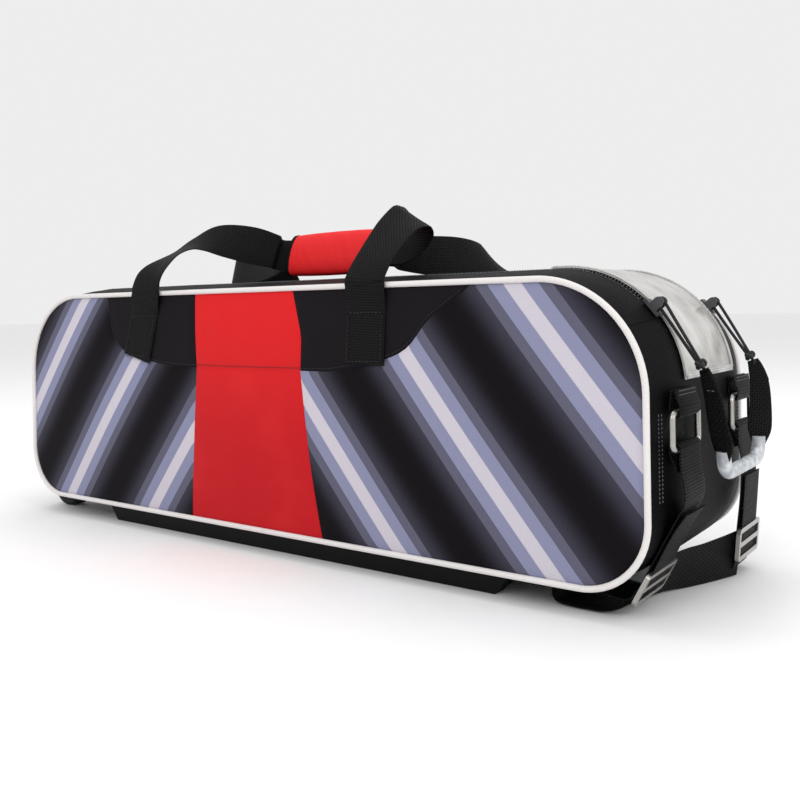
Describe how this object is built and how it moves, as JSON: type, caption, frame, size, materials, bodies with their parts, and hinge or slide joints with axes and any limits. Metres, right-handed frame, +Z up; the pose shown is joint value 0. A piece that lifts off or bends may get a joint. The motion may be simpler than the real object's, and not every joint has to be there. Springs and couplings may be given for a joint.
{
  "type": "rolling bowling bag",
  "caption": "Long soft-sided bag for a row of bowling balls, with webbing carry handles, a skid, wheels at one end and a tow strap and lifting bridle at the other.",
  "frame": {"origin": "on the flat bottom of the middle skid runner, at the middle of the bag in length and width", "axes": "+Z up, +X along the bag to its pulling end, -Y to the printed front panel"},
  "size_m": [0.8395, 0.2516, 0.3383],
  "materials": {
    "printed_fabric": "satin woven polyester with a dye print",
    "yoke_fabric": "satin woven polyester",
    "red_fabric": "satin woven polyester",
    "black_fabric": "coarse ballistic weave",
    "piping": "satin",
    "webbing": "ribbed polyester webbing",
    "zipper": "nylon coil",
    "clear_vinyl": "milky clear vinyl",
    "clear_tube": "clear vinyl tube",
    "cord": "braided cord",
    "hardware_metal": "nickel plate",
    "wheel_tyre": "matt polyurethane",
    "wheel_hub": "moulded",
    "steel": "zinc plated",
    "moulded_plastic": "fine moulded grain",
    "board": "plain sheet",
    "foam": "brushed fabric over foam"
  },
  "bodies": {
    "bag": {"back_handle_legs": "webbing", "back_panel_left": "printed_fabric", "back_panel_right": "printed_fabric", "back_piping": "piping", "back_stripe_lower": "red_fabric", "back_stripe_upper": "red_fabric", "back_yoke": "yoke_fabric", "ball_cup_left": "foam", "ball_cup_middle": "foam", "ball_cup_right": "foam", "base_board": "board", "base_skid": "moulded_plastic", "bottom_panel": "black_fabric", "divider_left": "foam", "divider_right": "foam", "end_panel_left": "black_fabric", "end_panel_right": "black_fabric", "front_handle_legs": "webbing", "front_panel_left": "printed_fabric", "front_panel_right": "printed_fabric", "front_piping": "piping", "front_stripe_lower": "red_fabric", "front_stripe_upper": "red_fabric", "front_yoke": "yoke_fabric", "lid_main": "black_fabric", "ring_tab_back": "webbing", "ring_tab_front": "webbing", "skid_screws": "steel", "top_strip_back": "black_fabric", "top_strip_front": "black_fabric", "wheel_axle_back": "steel", "wheel_axle_front": "steel", "wheel_housing_back": "moulded_plastic", "wheel_housing_front": "moulded_plastic", "zipper_coil_back": "zipper", "zipper_coil_front": "zipper"},
    "front_carry_handle": {"front_handle": "webbing", "grip_wrap": "red_fabric"},
    "back_carry_handle": {"back_handle": "webbing"},
    "lid_end": {"lid_end_panel": "black_fabric", "lid_flap_vinyl": "clear_vinyl"},
    "zip_pulls": {"zip_slider_front": "hardware_metal", "zip_slider_back": "hardware_metal", "zip_pull_front": "hardware_metal", "zip_pull_back": "hardware_metal"},
    "bridle": {"bridle_cord_front": "cord", "bridle_cord_back": "cord", "bridle_webbing_front": "webbing", "bridle_webbing_back": "webbing", "bridle_tube": "clear_tube"},
    "front_ring": {"ring_front": "hardware_metal"},
    "back_ring": {"ring_back": "hardware_metal"},
    "tow": {"tow_strap": "webbing"},
    "front_glide": {"tri_glide_front": "hardware_metal"},
    "back_glide": {"tri_glide_back": "hardware_metal"},
    "front_wheel": {"wheel_hub_front": "wheel_hub", "wheel_tyre_front": "wheel_tyre"},
    "back_wheel": {"wheel_hub_back": "wheel_hub", "wheel_tyre_back": "wheel_tyre"}
  },
  "joints": [
    {"name": "wheel_front_spin", "type": "hinge", "parent": "bag", "child": "front_wheel", "pos_m": [-0.375, -0.074, 0.027], "axis": [0, 1, 0], "continuous": true},
    {"name": "wheel_back_spin", "type": "hinge", "parent": "bag", "child": "back_wheel", "pos_m": [-0.375, 0.074, 0.027], "axis": [0, 1, 0], "continuous": true},
    {"name": "front_handle_fold", "type": "hinge", "parent": "bag", "child": "front_carry_handle", "pos_m": [0, -0.1225, 0.258], "axis": [1, 0, 0], "range_deg": [0, 150], "deforming": ["grip_wrap"]},
    {"name": "back_handle_fold", "type": "hinge", "parent": "bag", "child": "back_carry_handle", "pos_m": [0, 0.1225, 0.258], "axis": [-1, 0, 0], "range_deg": [0, 150]},
    {"name": "lid_end_open", "type": "hinge", "parent": "bag", "child": "lid_end", "pos_m": [0.178, 0, 0.2715], "axis": [0, -1, 0], "range_deg": [0, 90]},
    {"name": "zip_travel", "type": "hinge", "parent": "bag", "child": "zip_pulls", "pos_m": [0.302, 0, 0.172], "axis": [0, -1, 0], "range_deg": [0, 48]},
    {"name": "bridle_swing", "type": "hinge", "parent": "zip_pulls", "child": "bridle", "pos_m": [0.38397, 0, 0.24078], "axis": [0, -1, 0], "range_deg": [0, 99]},
    {"name": "ring_front_swing", "type": "hinge", "parent": "bag", "child": "front_ring", "pos_m": [0.404, -0.074, 0.1585], "axis": [0, -1, 0], "range_deg": [0, 22]},
    {"name": "ring_back_swing", "type": "hinge", "parent": "bag", "child": "back_ring", "pos_m": [0.404, 0.074, 0.1585], "axis": [0, -1, 0], "range_deg": [0, 22]},
    {"name": "tow_strap_swing", "type": "hinge", "parent": "front_ring", "child": "tow", "pos_m": [0.404, -0.074, 0.1315], "axis": [0, -1, 0], "range_deg": [0, 66]},
    {"name": "tri_glide_front_slide", "type": "slide", "parent": "tow", "child": "front_glide", "axis": [0.4694, 0, 0.883], "range_m": [0, 0.036]},
    {"name": "tri_glide_back_slide", "type": "slide", "parent": "tow", "child": "back_glide", "axis": [0.0894, 0, 0.996], "range_m": [0, 0.036]}
  ],
  "couplings": [
    {"joint": "ring_front_swing", "follows": "tow_strap_swing", "ratio": 0.3333},
    {"joint": "ring_back_swing", "follows": "tow_strap_swing", "ratio": 0.3333},
    {"joint": "bridle_swing", "follows": "tow_strap_swing", "ratio": 1.5}
  ]
}
